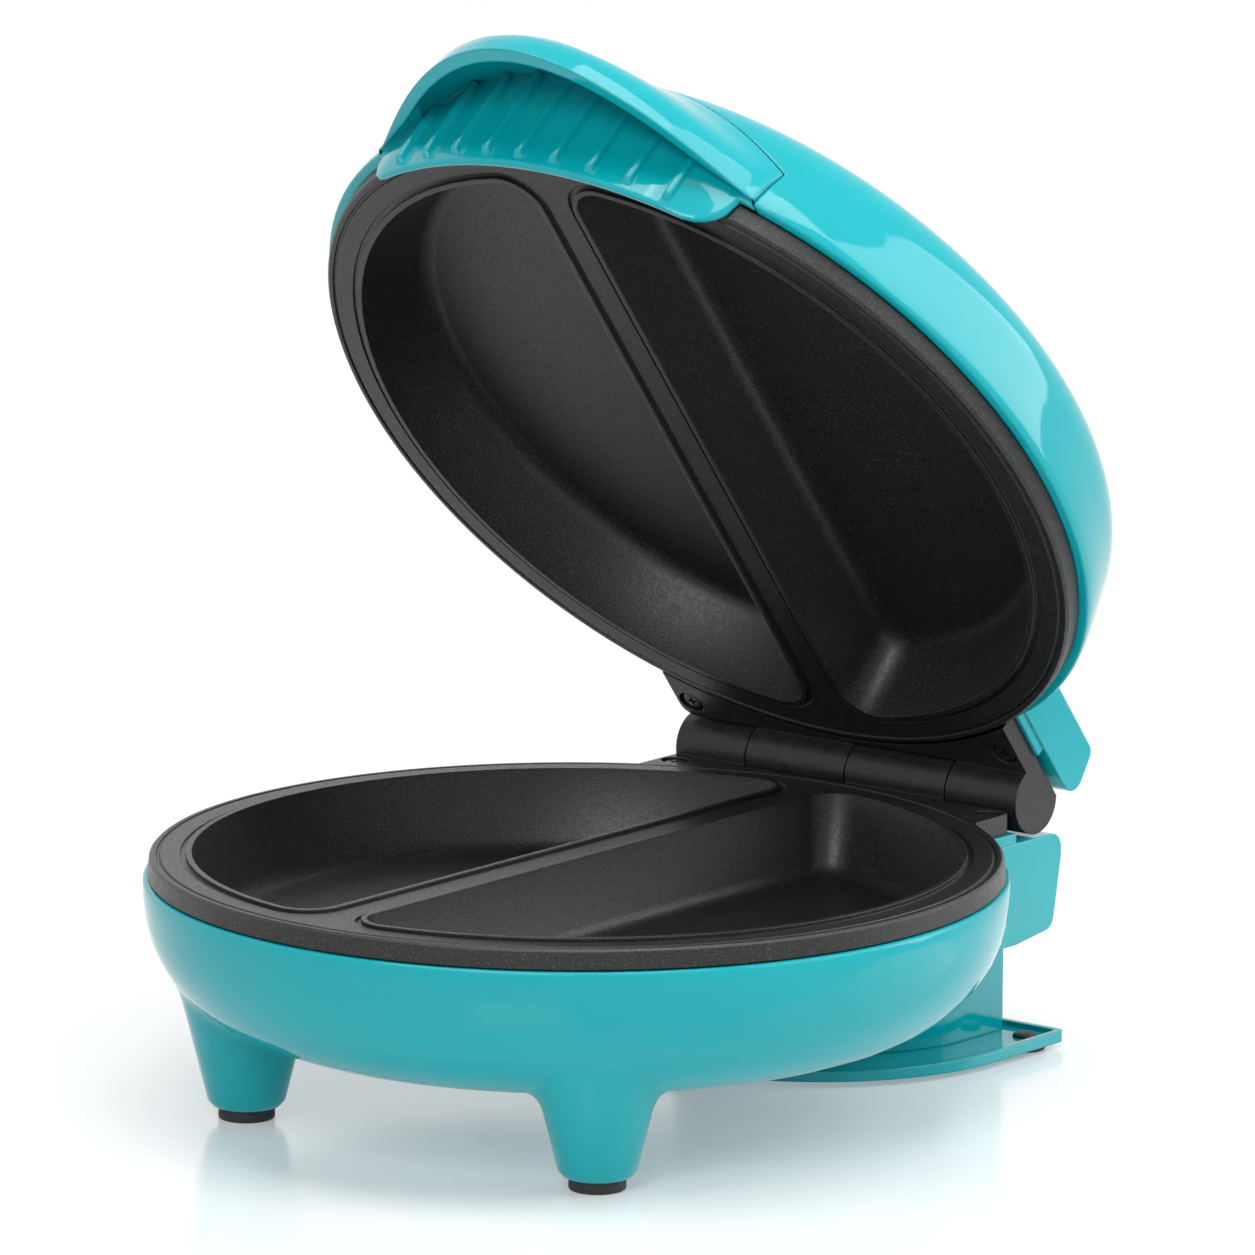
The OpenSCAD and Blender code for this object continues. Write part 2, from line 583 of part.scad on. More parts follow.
module cord_bush() color(BLACK) translate([0, spool_back, cord_z]) rotate([90, 0, 0]) difference() {
  union() {
    translate([0, 0, -2]) cylinder(h = 2, r1 = bush_collar_r - 0.8, r2 = bush_collar_r, $fn = round_fn);
    cylinder(h = wall, r = bush_neck_r, $fn = round_fn);
    translate([0, 0, wall]) cylinder(h = 2.5, r = bush_collar_r, $fn = round_fn);
  }
  translate([0, 0, -3]) cylinder(h = 10, d = cord_d, $fn = round_fn);
}

// Fixings and wiring in the base

module lower_plate_screws() color(STEEL) at_posts() {
  head_z = bowl_bottom_z + plate_screw_sink - screw_head_h;
  translate([0, 0, head_z]) cylinder(h = screw_head_h, d = screw_head_d, $fn = round_fn);
  translate([0, 0, head_z + screw_head_h - 0.01])
    cylinder(h = lower_shield_z + 7 - head_z - screw_head_h, d = screw_d, $fn = round_fn);
}
module thermal_fuse() color(CERAMIC) translate([30, -8, lower_shell_z - 0.1 - 2]) {
  rotate([-90, 0, 0]) cylinder(h = 16, d = 4, $fn = round_fn);
  translate([0, -6, 0]) rotate([-90, 0, 0]) cylinder(h = 28, d = 1, $fn = 24);
}
block_floor_z = block_bottom_z + wall;
lead_y = block_back - 11;
module terminal_block() color(CERAMIC) difference() {
  translate([-17, lead_y - 4, block_floor_z]) cube([34, 8, 9]);
  for (k = [-1:1]) translate([k * 10.5, lead_y, block_floor_z + 4]) cylinder(h = 6, d = 4.2, $fn = 24);
  for (k = [-1:1]) translate([k * 4.4, lead_y, block_floor_z - 1]) cylinder(h = 3, d = 2.5, $fn = 24);
}
module terminal_screws() color(STEEL) for (k = [-1:1]) translate([k * 10.5, lead_y, block_floor_z + 4])
  cylinder(h = 4, d = 4, $fn = 24);
// Three insulated leads from the cord's end up to the terminal block
module mains_leads() for (k = [-1:1]) color([[0.2, 0.3, 0.6], [0.3, 0.5, 0.2], [0.45, 0.28, 0.15]][k + 1])
  translate([k * 4.4, lead_y, cord_z + k * 0.01])
    cylinder(h = block_floor_z + 1.9 - cord_z, d = 2.4, $fn = 24);

// Hinge

// Plan of a leaf: two ears that follow the plate's edge, joined along the knuckles
module leaf_plan() difference() {
  back = hinge_back - knuckle_r - 0.5;
  front = block_front - 10;
  polygon(rounded([[-hinge_half, front, 0], [hinge_half, front, 0], [hinge_half, back, 4],
    [-hinge_half, back, 0]]));
  circle(r = band_r + 0.7, $fn = 2 * round_fn);
}
// Lower leaf; the lid's leaf is the same piece turned over
module leaf() difference() {
  union() {
    translate([0, 0, hinge_z - leaf_far]) linear_extrude(leaf_t) leaf_plan();
    for (span = [[-hinge_half, -knuckle_x - knuckle_gap / 2], [knuckle_gap / 2, knuckle_x - knuckle_gap / 2]])
      intersection() {
        union() {
          translate([span[0], hinge_back, hinge_z]) rotate([0, 90, 0])
            cylinder(h = span[1] - span[0], r = knuckle_r, $fn = round_fn);
          translate([span[0], hinge_back - knuckle_r - 1.4, hinge_z - leaf_far])
            cube([span[1] - span[0], knuckle_r, leaf_t]);
        }
        translate([-hinge_half - 10, hinge_back - 20, hinge_z - leaf_far])
          cube([2 * hinge_half + 20, 40, 40]);
      }
  }
  translate([-hinge_half + 2.5, hinge_back, hinge_z]) rotate([0, 90, 0])
    cylinder(h = 2 * hinge_half, r = pin_d / 2 + fit_gap, $fn = round_fn);
  for (p = leaf_screw_places) translate([p[0], p[1], hinge_z - leaf_offset]) {
    screw_hole(leaf_t + 1);
    translate([0, 0, -screw_head_h - 0.4]) cylinder(h = 5, d = screw_head_d + 0.4, $fn = round_fn);
  }
}
module turned_over() translate([0, 0, 2 * hinge_z]) rotate([0, 180, 0]) children();
module leaf_screws() for (p = leaf_screw_places)
  translate([p[0], p[1], hinge_z - leaf_offset - screw_head_h - 0.4]) screw(leaf_t - screw_head_h + 8);
module base_hinge_leaf() color(BLACK) leaf();
module lid_hinge_leaf() color(BLACK) lid_pose() turned_over() leaf();
module base_leaf_screws() color(STEEL) leaf_screws();
module lid_leaf_screws() color(STEEL) lid_pose() turned_over() leaf_screws();
module hinge_pin() color(STEEL) translate([-hinge_half + 2.6, hinge_back, hinge_z]) rotate([0, 90, 0])
  cylinder(h = 2 * hinge_half - 5.2, d = pin_d, $fn = round_fn);

// Lid housing

side_top = [lid_r - 2.7, lid_rim_z + 14];
dome_outer = concat([[lid_r - 0.7, lid_rim_z], [lid_r - 0.2, lid_rim_z + 0.2], [lid_r, lid_rim_z + 0.7],
  [lid_r - 0.2, lid_rim_z + 3]],
  curve([lid_r - 0.2, lid_rim_z + 3], [lid_r - 0.9, lid_rim_z + 7], [lid_r - 1.8, lid_rim_z + 10.5],
    side_top, 3),
  curve(side_top, [lid_r - 4.4, side_top[1] + 10], [lid_r - 9.1, shoulder_z - 0.5], [crown_r, shoulder_z], 9),
  curve([crown_r, shoulder_z], [50, shoulder_z + 0.8], [25, lid_top_z], [0, lid_top_z], 4));
dome_inner = concat([[lid_r - wall, lid_rim_z - 5], [lid_r - wall - 0.2, lid_rim_z + 3]],
  curve([lid_r - wall - 0.2, lid_rim_z + 3], [lid_r - wall - 0.9, lid_rim_z + 7],
    [lid_r - wall - 1.8, lid_rim_z + 10], [side_top[0] - wall, side_top[1] - 0.5], 3),
  curve([side_top[0] - wall, side_top[1] - 0.5], [lid_r - 4.4 - wall, side_top[1] + 8.6],
    [lid_r - 11.2, shoulder_z - wall - 0.5], [crown_r - 0.6, shoulder_z - wall], 9),
  curve([crown_r - 0.6, shoulder_z - wall], [50, shoulder_z + 0.8 - wall], [25, lid_top_z - wall],
    [0, lid_top_z - wall], 4));
module dome_solid() rotate_extrude($fn = round_fn) polygon(concat([[0, lid_rim_z]], dome_outer));
module dome_space() rotate_extrude($fn = round_fn) polygon(concat([[0, lid_rim_z - 5]], dome_inner));
function dome_r(z) = lookup(z, [for (p = dome_outer) [p[1], p[0]]]);

seam_centre_z = handle_top_z - handle_seam_r;
function handle_top(x) = seam_centre_z + sqrt(handle_seam_r * handle_seam_r - x * x);
module handle_opening() intersection() {
  translate([-handle_half - seat_gap, -1.5 * plate_r, lid_rim_z - 10])
    cube([2 * (handle_half + seat_gap), 0.9 * plate_r, 60]);
  translate([0, -0.5 * plate_r, seam_centre_z]) rotate([90, 0, 0])
    cylinder(h = plate_r, r = handle_seam_r + seat_gap, $fn = 2 * round_fn);
}
upper_block_top = upper_block_bottom + lid_block_h;
upper_block_side = rounded([[block_front, upper_block_bottom, 0],
  [block_back, upper_block_bottom, block_edge_r],
  [block_back - 0.2, upper_block_bottom + 5, 0], [block_back - 3, upper_block_top, 2.5],
  [block_front, upper_block_top, 0]]);
lens_places = [[-lens_x, -lens_y], [lens_x, -lens_y]];
tongue_x = 25;
tongue_y = lid_r - 18.6;
tongue_z = lid_rim_z + 17;
tongue_t = 2.5;
clip_angle = atan2(post_y, post_x);
clip_t = 0.8;
shield_head_h = 1.2;   // head of a shield's screw
clip_angles = [clip_angle, 180 - clip_angle, 180 + clip_angle, -clip_angle];
clip_z = upper_shield_z + shield_t;
ledge_in = plate_r - 19.5;
clip_end = plate_r - 15.3;
module lid_housing() color(TEAL) lid_pose() difference() {
  union() {
    difference() {
      union() {
        dome_solid();
        block_prism(upper_block_side, block_half);
        upper_leaf_seat();
      }
      dome_space();
      difference() {
        translate([-block_half + wall, block_front + 10, upper_block_bottom + wall])
          cube([2 * (block_half - wall), block_back - wall - 3.5 - block_front - 10, lid_block_h - 2 * wall]);
        dome_solid();
      }
      for (side = [-1, 1]) translate([side * 14 - 4, block_front, upper_block_bottom + 4.5])
        cube([8, 30, 4]);
      translate([-hinge_half - 0.4, block_front, lid_rim_z - 10])
        cube([2 * hinge_half + 0.8, 60, hinge_z + leaf_far - lid_rim_z + 10]);
      handle_opening();
    }
    // ledges for the plate's clips and bosses for the handle's screws
    intersection() {
      union() {
        for (a = clip_angles) rotate(a) translate([ledge_in, -6, clip_z - 2]) cube([14, 12, 1.9]);
        for (side = [-1, 1]) translate([side * tongue_x, -tongue_y, tongue_z + tongue_t + 0.1])
          cylinder(h = 20, r = 3.6, $fn = round_fn);
        for (p = leaf_screw_places) translate([p[0], p[1], hinge_z + leaf_far])
          cylinder(h = lid_block_h - 1, r = 3.8, $fn = round_fn);
      }
      union() {
        dome_solid();
        block_prism(upper_block_side, block_half);
        upper_leaf_seat();
      }
    }
  }
  for (side = [-1, 1]) translate([side * tongue_x, -tongue_y, tongue_z]) mirror([0, 0, 1]) screw_hole(8);
  for (p = leaf_screw_places) translate([p[0], p[1], hinge_z + leaf_far]) mirror([0, 0, 1]) screw_hole(10);
  for (p = lens_places) translate([p[0], p[1], lid_top_z - 8])
    cylinder(h = 10, d = lens_d + 2 * fit_gap, $fn = round_fn);
}
module upper_leaf_seat() difference() {
  translate([-block_half, block_front, hinge_z + leaf_far])
    cube([2 * block_half, hinge_back - knuckle_r - 0.9 - block_front,
      upper_block_bottom - hinge_z - leaf_far + 1]);
  translate([-block_half - 1, block_front - 10, upper_block_bottom - 20])
    cube([block_half - hinge_half, 60, 20]);
  translate([hinge_half + 1, block_front - 10, upper_block_bottom - 20])
    cube([block_half - hinge_half, 60, 20]);
}

// Handle

lip_inner_r = band_r + 0.6;
face_r = lid_r - 0.2;
lip_z = rim_z + 0.8;
lip_corner = 8.5;
lip_half = handle_half - 3.2;
function front_y(r, x) = -sqrt(r * r - x * x);
function brow(x) = pow(max(0, 1 - pow(x / brow_half, 2)), 1.15);
function brow_edge_z(x) = brow_z - brow_drop * pow(x / handle_half, 2);
function lip_low(x) = let (t = min(1, max(0, (abs(x) - lip_half + lip_corner) / lip_corner)))
  lip_z + (lid_rim_z - 0.3 - lip_z) * (1 - sqrt(1 - t * t));
function ease(t) = let (u = min(1, max(0, t))) u * u * (3 - 2 * u);
function skin_y(x, z) = let (low = brow_edge_z(x) + 5.5, fall = 1 - ease((z - low) / (handle_top(x) - low)))
  front_y(dome_r(z) + 0.3, x) - (0.7 + brow_out * brow(x)) * fall;
function rib(x) = let (k = round(x / rib_pitch + (rib_count - 1) / 2),
    at = (k - (rib_count - 1) / 2) * rib_pitch)
  k < 0 || k >= rib_count || abs(x - at) > rib_w * 0.4 ? 0 : rib_h;
skin_steps = 8;
// Closed outline of the handle piece in the plane at x
function handle_section(x) =
  let (low = lip_low(x), top = handle_top(x), edge = brow_edge_z(x), spread = min(1, 3 * brow(x)),
    face = front_y(face_r, x), inner_edge = skin_y(x, edge) + 0.4 + (brow_wall - 0.4) * spread,
    roof = edge + 0.4 + (hollow_h - 0.4) * brow(x),
    roof_front = edge + 0.2 + 0.5 * (hollow_h - 0.4) * brow(x),
    reach = roof - low)
  concat([[x, front_y(lip_inner_r, x), low], [x, front_y(lip_inner_r, x), lid_rim_z + 1.5],
    [x, front_y(dome_r(lid_rim_z + 10) - wall, x), lid_rim_z + 10], [x, front_y(dome_r(top) - wall, x), top]],
    [for (k = [0:skin_steps]) let (z = top - (top - edge) * k / skin_steps) [x, skin_y(x, z), z]],
    [[x, inner_edge, edge], [x, inner_edge + 0.4 * spread, roof_front], [x, face, roof],
    [x, face - rib(x), roof - min(1, 0.15 * reach)], [x, face - rib(x), low + min(2, 0.4 * reach)],
    [x, face, low + min(0.8, 0.2 * reach)], [x, face + 0.5, low]]);
rib_columns = [for (k = [0:rib_count - 1]) let (at = (k - (rib_count - 1) / 2) * rib_pitch)
  each [at - rib_w / 2, at - rib_w / 4, at + rib_w / 4, at + rib_w / 2,
    if (k < rib_count - 1) at + rib_pitch / 2]];
last_rib = rib_columns[len(rib_columns) - 1];
end_columns = [for (t = [0.22, 0.4, 0.53, 0.64, 0.72, 0.78, 0.88, 1])
  last_rib + t * (handle_half - last_rib)];
handle_columns = concat([for (i = [len(end_columns) - 1:-1:0]) -end_columns[i]], rib_columns, end_columns);
module lid_handle() color(TEAL) lid_pose() difference() {
  union() {
    loft([for (i = [len(handle_columns) - 1:-1:0]) let (ring = handle_section(handle_columns[i]))
      [for (k = [len(ring) - 1:-1:0]) ring[k]]]);
    for (side = [-1, 1]) translate([side * tongue_x - 5, -tongue_y - 11, tongue_z]) cube([10, 15, tongue_t]);
  }
  for (side = [-1, 1]) translate([side * tongue_x, -tongue_y, tongue_z - 1])
    cylinder(h = 5, d = screw_d + 2 * fit_gap, $fn = round_fn);
}
module handle_screws() color(STEEL) lid_pose() for (side = [-1, 1])
  translate([side * tongue_x, -tongue_y, tongue_z]) mirror([0, 0, 1]) screw(7);

// Fixings and lamps in the lid

module upper_shield_screws() color(STEEL) lid_pose() at_posts() translate([0, 0, clip_z + clip_t]) {
  cylinder(h = shield_head_h, d = screw_head_d, $fn = round_fn);
  translate([0, 0, -8]) cylinder(h = 8.01, d = screw_d, $fn = round_fn);
}
module upper_plate_clips() color(STEEL) lid_pose() for (a = clip_angles) rotate(a) difference() {
  post_at = norm([post_x, post_y]);
  translate([post_at - 5, -4, clip_z]) cube([clip_end - post_at + 5, 8, clip_t]);
  translate([post_at, 0, clip_z - 1]) cylinder(h = 3, d = screw_d + 2 * fit_gap, $fn = round_fn);
}
lens_body_h = wall + 1.3;
module lens(place) lid_pose() translate([place[0], place[1], lid_top_z - wall - 1.7])
  rotate_extrude($fn = 48) polygon(concat([[0, 0], [lens_d / 2 + 1, 0], [lens_d / 2 + 1, 0.6],
    [lens_d / 2, 0.6], [lens_d / 2, lens_body_h]],
    [for (t = [0:15:90]) [lens_d / 2 * cos(t), lens_body_h + 0.8 * sin(t)]]));
module power_lens() color([0.75, 0.06, 0.05]) lens(lens_places[0]);
module ready_lens() color([0.08, 0.55, 0.12]) lens(lens_places[1]);
module lamp_holder() color(CERAMIC) lid_pose() difference() {
  translate([-lens_x - 6, -lens_y - 5, upper_shield_z + shield_t]) cube([2 * lens_x + 12, 10, 1.2]);
}

base_housing();
front_feet();
spool_flange();
spool_flange_screws();
rear_pads();
cord_bush();
lower_plate();
lower_element();
lower_element_clamps();
lower_clamp_screws();
lower_heat_shield();
lower_plate_screws();
lower_thermostat();
thermal_fuse();
terminal_block();
terminal_screws();
mains_leads();
base_hinge_leaf();
base_leaf_screws();
hinge_pin();
lid_housing();
lid_handle();
handle_screws();
upper_plate();
upper_element();
upper_element_clamps();
upper_clamp_screws();
upper_heat_shield();
upper_shield_screws();
upper_plate_clips();
upper_thermostat();
lid_hinge_leaf();
lid_leaf_screws();
power_lens();
ready_lens();
lamp_holder();
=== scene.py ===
import bpy
import bmesh
import json
import math
from mathutils import Matrix, Vector


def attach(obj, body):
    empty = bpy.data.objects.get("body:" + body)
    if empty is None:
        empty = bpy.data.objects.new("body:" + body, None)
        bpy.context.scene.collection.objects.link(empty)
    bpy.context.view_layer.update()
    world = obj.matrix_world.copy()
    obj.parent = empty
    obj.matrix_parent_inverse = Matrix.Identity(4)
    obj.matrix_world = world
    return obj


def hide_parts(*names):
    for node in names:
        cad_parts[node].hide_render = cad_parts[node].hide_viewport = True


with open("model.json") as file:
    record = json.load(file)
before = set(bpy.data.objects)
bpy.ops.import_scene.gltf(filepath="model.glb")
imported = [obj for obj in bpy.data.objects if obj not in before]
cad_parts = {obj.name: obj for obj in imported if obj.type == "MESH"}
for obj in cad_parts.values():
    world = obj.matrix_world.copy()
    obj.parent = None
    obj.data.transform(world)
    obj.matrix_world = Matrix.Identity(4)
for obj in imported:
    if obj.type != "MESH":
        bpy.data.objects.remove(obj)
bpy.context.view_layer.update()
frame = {"nodes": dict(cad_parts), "record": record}


MM = 0.001
LID = "lid"
BASE = "base"
HINGE = Vector((0, 111, 61.9)) * MM
OPEN_ANGLE = math.radians(-52)
LID_TURN = (Matrix.Translation(HINGE) @ Matrix.Rotation(OPEN_ANGLE, 4, "X")
            @ Matrix.Translation(-HINGE))       # from the shut cooker to the open one

# Edges that bend by less than these angles are shaded as one round face
SKIN_BEND = math.radians(30)
RIB_BEND = math.radians(35)
TURNED_BEND = math.radians(40)


# Materials

class Finish:
    """A node material: the shader's sockets take plain values, patterns read Object coordinates."""

    def __init__(self, name, color, roughness, metallic=0.0, **sockets):
        self.material = bpy.data.materials.new(name)
        self.material.use_nodes = True
        self.material.diffuse_color = (*color, 1.0)
        self.tree = self.material.node_tree
        self.shader = self.tree.nodes["Principled BSDF"]
        self.shader.inputs["Base Color"].default_value = (*color, 1.0)
        self.shader.inputs["Roughness"].default_value = roughness
        self.shader.inputs["Metallic"].default_value = metallic
        for key, value in sockets.items():
            self.shader.inputs[key.replace("_", " ")].default_value = value
        self.place = self.node("ShaderNodeTexCoord").outputs["Object"]
        self.surface = None

    def node(self, kind, **values):
        """A new node, with its settings and its sockets' values given by name."""
        made = self.tree.nodes.new(kind)
        for key, value in values.items():
            if hasattr(made, key):
                setattr(made, key, value)
            else:
                made.inputs[key.replace("_", " ")].default_value = value
        return made

    def link(self, source, target):
        self.tree.links.new(source, target)

    def noise(self, scale, detail, rough, stretch=(1, 1, 1)):
        mapping = self.node("ShaderNodeMapping", Scale=stretch)
        self.link(self.place, mapping.inputs["Vector"])
        made = self.node("ShaderNodeTexNoise", Scale=scale, Detail=detail, Roughness=rough)
        self.link(mapping.outputs["Vector"], made.inputs["Vector"])
        return made.outputs["Fac"]

    def colors(self, pattern, stops):
        """The pattern's level picks the colour from these (level, colour) stops."""
        ramp = self.node("ShaderNodeValToRGB")
        while len(ramp.color_ramp.elements) < len(stops):
            ramp.color_ramp.elements.new(0.5)
        for element, (at, color) in zip(ramp.color_ramp.elements, stops):
            element.position = at
            element.color = (*color, 1.0)
        self.link(pattern, ramp.inputs["Fac"])
        self.link(ramp.outputs["Color"], self.shader.inputs["Base Color"])

    def rough(self, pattern, smoothest, roughest, low=0.3, high=0.7):
        """Roughness from smoothest to roughest, where the pattern goes from low to high."""
        made = self.node("ShaderNodeMapRange", From_Min=low, From_Max=high,
                         To_Min=smoothest, To_Max=roughest)
        self.link(pattern, made.inputs["Value"])
        self.link(made.outputs["Result"], self.shader.inputs["Roughness"])

    def shape_with(self, made):
        """This node's normal becomes the surface's, and the next one builds on it."""
        self.surface = made.outputs["Normal"]
        self.link(self.surface, self.shader.inputs["Normal"])

    def soft_edges(self, radius):
        """Moulded and cast edges are never quite sharp, so they catch a line of light."""
        self.shape_with(self.node("ShaderNodeBevel", samples=6, Radius=radius))

    def bump(self, pattern, distance, strength):
        made = self.node("ShaderNodeBump", Strength=strength, Distance=distance)
        self.link(pattern, made.inputs["Height"])
        if self.surface is not None:
            self.link(self.surface, made.inputs["Normal"])
        self.shape_with(made)


def glossy_turquoise():
    made = Finish("glossy_turquoise", (0.001, 0.355, 0.402), 0.06, Specular_IOR_Level=0.34)
    made.soft_edges(0.0009)
    made.colors(made.noise(9.0, 4.0, 0.6), [(0.30, (0.001, 0.345, 0.392)),
                                            (0.70, (0.002, 0.365, 0.413))])
    made.rough(made.noise(160.0, 3.0, 0.6), 0.045, 0.080, 0.35, 0.65)
    made.bump(made.noise(60.0, 2.0, 0.5), 0.00003, 0.20)
    return made.material


def nonstick_coat():
    made = Finish("nonstick_coat", (0.016, 0.016, 0.0165), 0.38, Specular_IOR_Level=0.37)
    made.soft_edges(0.0004)
    made.colors(made.noise(2600.0, 2.0, 0.7), [(0.35, (0.009, 0.009, 0.0095)),
                                               (0.60, (0.019, 0.019, 0.0195)),
                                               (0.70, (0.090, 0.090, 0.092))])
    made.rough(made.noise(900.0, 3.0, 0.7), 0.29, 0.45)
    made.bump(made.noise(2100.0, 3.0, 0.7), 0.00009, 0.60)
    made.bump(made.noise(60.0, 2.0, 0.5), 0.00010, 0.20)
    return made.material


def cast_black():
    made = Finish("cast_black", (0.012, 0.012, 0.0125), 0.34, Specular_IOR_Level=0.38)
    made.soft_edges(0.0004)
    made.colors(made.noise(700.0, 3.0, 0.7), [(0.3, (0.008, 0.008, 0.0085)),
                                              (0.75, (0.022, 0.022, 0.023))])
    made.rough(made.noise(300.0, 3.0, 0.6), 0.27, 0.42)
    made.bump(made.noise(1500.0, 3.0, 0.6), 0.00007, 0.6)
    return made.material


def foot_rubber():
    made = Finish("foot_rubber", (0.010, 0.010, 0.011), 0.62)
    made.colors(made.noise(350.0, 3.0, 0.7), [(0.3, (0.007, 0.007, 0.008)),
                                              (0.75, (0.018, 0.018, 0.019))])
    made.rough(made.noise(500.0, 2.0, 0.6), 0.52, 0.72)
    made.bump(made.noise(1800.0, 2.0, 0.6), 0.00005, 0.6)
    return made.material


def black_moulding():
    made = Finish("black_moulding", (0.012, 0.012, 0.012), 0.45)
    made.rough(made.noise(400.0, 2.0, 0.6), 0.38, 0.52)
    made.bump(made.noise(1200.0, 2.0, 0.6), 0.00004, 0.5)
    return made.material


def zinc_steel():
    along = (1, 1, 8)
    made = Finish("zinc_steel", (0.55, 0.55, 0.56), 0.30, 1.0)
    made.colors(made.noise(260.0, 4.0, 0.7), [(0.3, (0.46, 0.46, 0.47)),
                                              (0.7, (0.62, 0.62, 0.63))])
    made.rough(made.noise(500.0, 2.0, 0.6, along), 0.22, 0.38)
    made.bump(made.noise(900.0, 2.0, 0.6, along), 0.00003, 0.4)
    return made.material


def blackened_steel():
    made = Finish("blackened_steel", (0.030, 0.030, 0.031), 0.34, 0.6)
    made.colors(made.noise(300.0, 3.0, 0.7), [(0.3, (0.022, 0.022, 0.023)),
                                              (0.75, (0.045, 0.045, 0.047))])
    made.rough(made.noise(500.0, 2.0, 0.6), 0.28, 0.42)
    made.bump(made.noise(1100.0, 2.0, 0.6), 0.00003, 0.4)
    return made.material


def heated_steel():
    made = Finish("heated_steel", (0.30, 0.28, 0.26), 0.36, 1.0)
    made.colors(made.noise(45.0, 4.0, 0.7), [(0.25, (0.20, 0.17, 0.15)),
                                             (0.55, (0.32, 0.29, 0.25)),
                                             (0.8, (0.24, 0.25, 0.30))])
    made.rough(made.noise(400.0, 2.0, 0.6), 0.30, 0.45)
    made.bump(made.noise(1100.0, 2.0, 0.6), 0.00003, 0.4)
    return made.material


def bright_sheet():
    rolled = (1, 14, 1)
    made = Finish("bright_sheet", (0.75, 0.75, 0.76), 0.22, 1.0)
    made.rough(made.noise(40.0, 3.0, 0.6, rolled), 0.18, 0.32)
    made.bump(made.noise(70.0, 3.0, 0.6, rolled), 0.00004, 0.3)
    return made.material


def steatite():
    made = Finish("steatite", (0.78, 0.75, 0.68), 0.5)
    made.colors(made.noise(300.0, 3.0, 0.6), [(0.3, (0.72, 0.69, 0.61)),
                                              (0.7, (0.82, 0.79, 0.73))])
    made.bump(made.noise(900.0, 2.0, 0.6), 0.00005, 0.5)
    return made.material


def lead_sleeve():
    made = Finish("lead_sleeve", (0.30, 0.24, 0.12), 0.5)
    made.bump(made.noise(600.0, 2.0, 0.6, (1, 1, 4)), 0.00004, 0.5)
    return made.material


def lens(name, color):
    made = Finish(name, color, 0.10, IOR=1.49, Coat_Weight=0.5, Coat_Roughness=0.04,
                  Transmission_Weight=0.35)
    made.rough(made.noise(300.0, 2.0, 0.5), 0.07, 0.14)
    made.bump(made.noise(500.0, 2.0, 0.5), 0.00003, 0.3)
    return made.material


FINISHES = {
    "housing": glossy_turquoise(),
    "cooking_plate": nonstick_coat(),
    "hinge_casting": cast_black(),
    "foot_rubber": foot_rubber(),
    "bush_plastic": black_moulding(),
    "screw_steel": zinc_steel(),
    "element_steel": heated_steel(),
    "shield_metal": bright_sheet(),
    "ceramic": steatite(),
    "lead_insulation": lead_sleeve(),
    "red_lens": lens("red_lens_moulding", (0.60, 0.02, 0.015)),
    "green_lens": lens("green_lens_moulding", (0.03, 0.45, 0.08)),
}
BLACK_STEEL = blackened_steel()
SLOT_OF = {part["node"]: part["material_slot"] for part in frame["record"]["subparts"]}
BODY_OF = {node: body for body, nodes in frame["record"]["behaviour"]["bodies"].items()
           for node in nodes}


def put_finish(thing, material):
    thing.data.materials.clear()
    thing.data.materials.append(material)


for name, thing in frame["nodes"].items():
    put_finish(thing, FINISHES[SLOT_OF[name]])


# What every piece is made with

def alone(piece):
    """Nothing but this piece is chosen."""
    bpy.ops.object.select_all(action="DESELECT")
    piece.select_set(True)
    bpy.context.view_layer.objects.active = piece


def choose(piece, kind, test):
    """In edit mode with only those edges or faces chosen that pass the test."""
    alone(piece)
    bpy.ops.object.mode_set(mode="EDIT")
    bpy.ops.mesh.select_mode(type=kind)
    bpy.ops.mesh.select_all(action="DESELECT")
    shape = bmesh.from_edit_mesh(piece.data)
    for part in (shape.edges if kind == "EDGE" else shape.faces):
        part.select_set(test(part))
    bmesh.update_edit_mesh(piece.data)


def done_editing():
    bpy.ops.object.mode_set(mode="OBJECT")


def keep_place():
    """The chosen piece's place, turn and size go into its mesh."""
    bpy.ops.object.transform_apply(location=True, rotation=True, scale=True)


def copy_of(piece, name):
    made = piece.copy()
    made.data = piece.data.copy()
    made.name = name
    bpy.context.scene.collection.objects.link(made)
    return made


def stand_for(piece, node, body, finish=None):
    """The piece moves with its body and is seen in place of its node."""
    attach(piece, body)
    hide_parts(node)
    put_finish(piece, finish or FINISHES[SLOT_OF[node]])


# Smooth copies of the moulded and cast nodes

def smooth_copy(node):
    """A node's copy with its loose triangles merged, so that its curved faces shade as one."""
    piece = bpy.data.objects.new(node + "_skin", frame["nodes"][node].data.copy())
    bpy.context.scene.collection.objects.link(piece)
    alone(piece)
    if piece.data.has_custom_normals:
        bpy.ops.mesh.customdata_custom_splitnormals_clear()
    bpy.ops.object.mode_set(mode="EDIT")
    bpy.ops.mesh.select_all(action="SELECT")
    bpy.ops.mesh.remove_doubles(threshold=0.004 * MM)
    bpy.ops.mesh.dissolve_limited(angle_limit=math.radians(0.3))
    done_editing()
    bpy.ops.object.shade_smooth_by_angle(angle=SKIN_BEND)
    stand_for(piece, node, BODY_OF[node])


for node in ("base_housing", "lid_housing", "lid_handle", "lower_plate", "upper_plate",
             "spool_flange", "base_hinge_leaf", "lid_hinge_leaf", "cord_bush"):
    smooth_copy(node)


# Round pieces, made by raising and widening one ring after another

